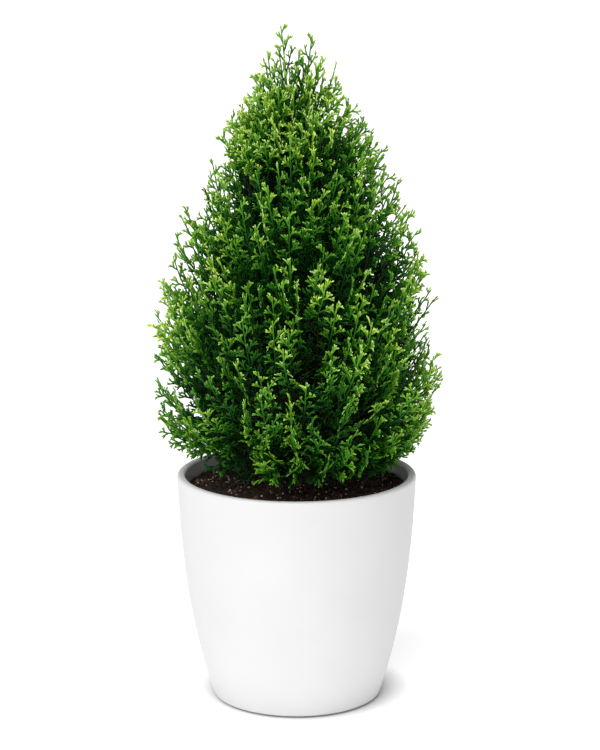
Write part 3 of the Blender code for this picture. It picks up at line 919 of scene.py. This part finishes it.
def icosphere():
    """Points and triangles of a once-divided icosahedron of radius 1."""
    mesh = bpy.data.meshes.new("ball")
    work = bmesh.new()
    bmesh.ops.create_icosphere(work, subdivisions=2, radius=1.0)
    work.to_mesh(mesh)
    work.free()
    points = np.array([v.co for v in mesh.vertices])
    faces = np.array([p.vertices[:] for p in mesh.polygons])
    bpy.data.meshes.remove(mesh)
    return points, faces


# ---- Pots ----

# The pot's outside is the same as the CAD model's, and the liner follows its inside.
POT_HEIGHT = 0.2023
POT_RADIUS = 0.1063
POT_LEAN = 0.045
POT_TUCK = 0.0228
POT_TUCK_POWER = 2.5
POT_WALL = 0.0073
POT_FLOOR = 0.008
POT_LIP_ROUND = 0.0028
POT_FOOT_ROUND = 0.003
POT_INNER_CORNER = 0.005
POT_BOTTOM = 0.0015
POT_WIDEST = POT_BOTTOM + POT_HEIGHT - POT_LIP_ROUND
LINER_CLEARANCE = 0.0015
LINER_WALL = 0.0014
LINER_CORNER = 0.0070


def pot_outside(z):
    """The radius at a height: a slight lean, and a curve that tucks in towards the foot."""
    depth = POT_WIDEST - z
    return POT_RADIUS - POT_LEAN * depth - POT_TUCK * (max(depth, 0) / POT_HEIGHT) ** POT_TUCK_POWER


def liner_outside(z):
    return pot_outside(z) - POT_WALL - LINER_CLEARANCE


def vessel(outside, wall, bottom, foot_round, brim, rim, floor, corner):
    """From the axis along the underside, up the outside, over the rim and down inside to the axis."""
    foot = bottom + foot_round
    heel = outside(foot) - foot_round
    points = [(0.0, bottom), (heel * 0.5, bottom)]
    points += arc((heel, foot), foot_round, -90, 0, 8)
    points += [(outside(z), z) for z in np.linspace(foot, brim, 60)[1:]]
    points += rim
    bend = floor + corner
    points += [(outside(z) - wall, z) for z in np.linspace(brim, bend, 50)[1:]]
    inside = outside(bend) - wall - corner
    points += arc((inside, bend), corner, 0, -90, 7)[1:]
    return points + [(inside * 0.5, floor), (0.0, floor)]


def pots(glaze, plastic):
    """The outer pot with its rounded lip, and the liner that lifts out of it."""
    inner = POT_RADIUS - POT_WALL
    lip = arc((POT_RADIUS - POT_LIP_ROUND, POT_WIDEST), POT_LIP_ROUND, 0, 90, 8)[1:]
    lip += arc((inner + POT_LIP_ROUND, POT_WIDEST), POT_LIP_ROUND, 90, 180, 8)
    profile = vessel(pot_outside, POT_WALL, POT_BOTTOM, POT_FOOT_ROUND, POT_WIDEST, lip,
                     POT_BOTTOM + POT_FLOOR, POT_INNER_CORNER)
    add_piece("pot", lathe("pot", profile, 192), "planter", ["outer_pot"], glaze)

    low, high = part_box("liner_pot")
    rim = [(liner_outside(high[2]) - LINER_WALL, high[2])]
    profile = vessel(liner_outside, LINER_WALL, low[2], LINER_CORNER, high[2], rim,
                     low[2] + LINER_WALL, LINER_CORNER - LINER_WALL)
    add_piece("liner", lathe("liner", profile, 160), "insert", ["liner_pot"], plastic)


# ---- Studio ----

WALL_TOP = 0.20  # sine of the angle up to which the backdrop is white
WALL_FADE = 0.34  # the same for where it has faded to the ceiling
CEILING_LIGHT = 0.22
FLOOR_SIZE = 30.0
FLOOR_ALBEDO = 0.80
FLOOR_PAINTED_GLOW = 0.58  # painted light: the floor glows and washes out shadows, save round the pot's foot, where the glow is left out as a painted contact shadow
# Painted contact shadow: no glow within the first radius of the pot's axis, fading in to full glow by the
# second.
PAINTED_SHADOW_CORE = 0.075
PAINTED_SHADOW_EDGE = 0.108
KEY_STRENGTH = 2.8
KEY_ANGLE = 60.0  # degrees across the light, which makes its shadow soft
KEY_DIRECTION = (0.35, 0.74, -1.00)


def backdrop():
    """A white wall all round, which fades upwards to a dim ceiling."""
    world = bpy.data.worlds.new("studio")
    world.use_nodes = True
    nodes, links = world.node_tree.nodes, world.node_tree.links
    height = nodes.new("ShaderNodeSeparateXYZ")
    links.new(nodes.new("ShaderNodeTexCoord").outputs["Generated"], height.inputs[0])
    wall = nodes.new("ShaderNodeMapRange")
    limits = {"From Min": WALL_TOP, "From Max": WALL_FADE, "To Min": 1.0, "To Max": CEILING_LIGHT}
    for socket, value in limits.items():
        wall.inputs[socket].default_value = value
    links.new(height.outputs["Z"], wall.inputs["Value"])
    nodes["Background"].inputs["Color"].default_value = (1.0, 1.0, 1.0, 1.0)
    links.new(wall.outputs["Result"], nodes["Background"].inputs["Strength"])
    bpy.context.scene.world = world


# A floor that glows as painted light, with a painted contact shadow where its glow is left out round the
# pot.
def glowing_floor_with_painted_shadow():
    corners = FLOOR_SIZE * np.array([[-1, -1, 0], [1, -1, 0], [1, 1, 0], [-1, 1, 0]])
    mesh = mesh_from("floor", corners, np.array([[0, 1, 2, 3]]), np.zeros((0, 3), int))
    plane = bpy.data.objects.new("floor", mesh)
    bpy.context.scene.collection.objects.link(plane)
    s = Shader("studio_floor_painted_glow_and_shadow")
    flat = s.node("ShaderNodeVectorMath", {0: s.place, 1: (1.0, 1.0, 0.0)}, operation="MULTIPLY")
    away = s.node("ShaderNodeVectorMath", {0: flat.outputs["Vector"]}, operation="LENGTH")
    painted_glow = s.range(away.outputs["Value"], PAINTED_SHADOW_CORE, PAINTED_SHADOW_EDGE, 0.0, FLOOR_PAINTED_GLOW)
    s.set(Base_Color=(FLOOR_ALBEDO, FLOOR_ALBEDO, FLOOR_ALBEDO, 1.0), Roughness=0.9,
          Emission_Color=(1.0, 1.0, 1.0, 1.0), Emission_Strength=painted_glow)
    s.principled.inputs["Specular IOR Level"].default_value = 0.0
    mesh.materials.append(s.material)


def studio():
    """Wall, a floor that glows as painted light with a painted shadow round the pot, and one broad key
    light from the upper left, behind the camera.
    """
    backdrop()
    glowing_floor_with_painted_shadow()
    scene = bpy.context.scene
    scene.view_settings.view_transform = "Standard"
    sun = bpy.data.lights.new("key", "SUN")
    sun.energy = KEY_STRENGTH
    sun.angle = math.radians(KEY_ANGLE)
    key = bpy.data.objects.new("key", sun)
    key.rotation_euler = Vector(KEY_DIRECTION).to_track_quat("-Z", "Y").to_euler()
    scene.collection.objects.link(key)


def camera():
    data = bpy.data.cameras.new("camera")
    data.lens = CAMERA_LENS
    data.sensor_width = CAMERA_SENSOR
    eye = bpy.data.objects.new("camera", data)
    eye.location = (CAMERA_ASIDE, -CAMERA_DISTANCE, CAMERA_HEIGHT)
    eye.rotation_euler = (math.radians(90 - CAMERA_PITCH), 0, 0)
    bpy.context.scene.collection.objects.link(eye)
    bpy.context.scene.camera = eye


# ---- Everything ----

LEADER_SEED = 100


def finish_hidden_parts():
    """Materials of the CAD solids that are shown as they are."""
    finishes = {
        "base_pad": plain_material("felt", (0.020, 0.020, 0.022), (0.045, 0.045, 0.048),
                                   1500.0, 0.85, 0.8),
        "ballast_block": plain_material("concrete", (0.30, 0.29, 0.27), (0.48, 0.46, 0.43),
                                        160.0, 0.85, 0.6),
        "foam_disc": foam_material(),
        "trunk_socket": plain_material("socket_plastic", (0.035, 0.035, 0.036), (0.055, 0.055, 0.056),
                                       300.0, 0.45, 0.2),
        "trunk_pole": plain_material("drawn_steel", (0.50, 0.50, 0.51), (0.62, 0.62, 0.63),
                                     900.0, 0.28, 0.2, 1.0, (1.0, 1.0, 0.05)),
    }
    for node, material in finishes.items():
        for slot in frame["nodes"][node].material_slots:
            slot.material = material


def main():
    camera()
    studio()
    spray, stem = spray_material(), stem_material()
    side_branches = sorted(name for name in frame["bodies"] if name.startswith("branch_"))
    leaders = sorted(name for name in frame["bodies"] if name.startswith("leader_"))
    for number, body in enumerate(side_branches):
        branch(body, number, len(side_branches), spray, stem)
    for number, body in enumerate(leaders):
        leader(body, LEADER_SEED + number, spray, stem)
    trunk(side_branches + leaders, bark_material())
    soil(soil_material())
    pots(glaze_material(), plain_material("liner_plastic", (0.016, 0.016, 0.016), (0.026, 0.026, 0.026),
                                          240.0, 0.42, 0.15))
    finish_hidden_parts()


main()
